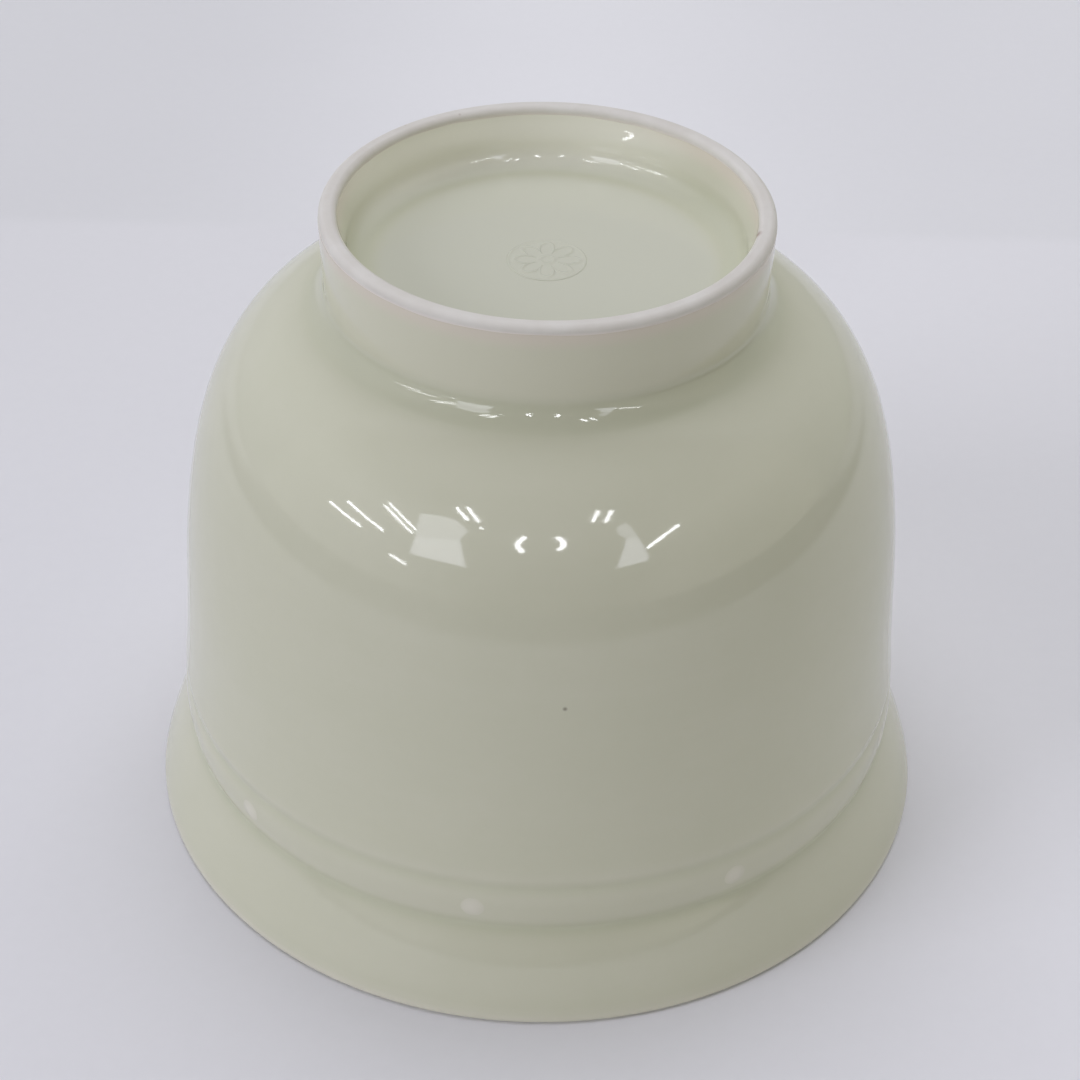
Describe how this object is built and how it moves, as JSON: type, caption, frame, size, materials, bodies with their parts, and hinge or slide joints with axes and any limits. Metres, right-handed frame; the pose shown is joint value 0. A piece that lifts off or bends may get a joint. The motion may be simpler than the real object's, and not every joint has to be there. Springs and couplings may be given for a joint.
{
  "type": "rice bowl",
  "caption": "Deep rice bowl in pale green glazed porcelain with a flared lip, a beaded girdle with small bosses and a tall foot ring with a bare edge, stood mouth down.",
  "frame": {"origin": "centre of the mouth, in the plane that the rim rests on", "axes": "+Z along the turning axis from the mouth to the foot, so the bowl is upside down and its foot is on top; turn it half way round X to stand it on its foot"},
  "size_m": [0.11, 0.11, 0.0907],
  "materials": {
    "celadon_glaze": "glossy pale green celadon glaze, slightly darker where it pools",
    "pale_celadon_glaze": "glossy celadon glaze, thin and pale over the bosses",
    "bare_porcelain": "unglazed, fine matt, faintly pink white"
  },
  "bodies": {
    "root": {"bowl_body": "celadon_glaze", "foot_ring": "celadon_glaze", "foot_edge": "bare_porcelain", "foot_seal": "celadon_glaze", "boss_01": "pale_celadon_glaze", "boss_02": "pale_celadon_glaze", "boss_03": "pale_celadon_glaze", "boss_04": "pale_celadon_glaze", "boss_05": "pale_celadon_glaze", "boss_06": "pale_celadon_glaze", "boss_07": "pale_celadon_glaze", "boss_08": "pale_celadon_glaze", "boss_09": "pale_celadon_glaze"}
  },
  "joints": []
}
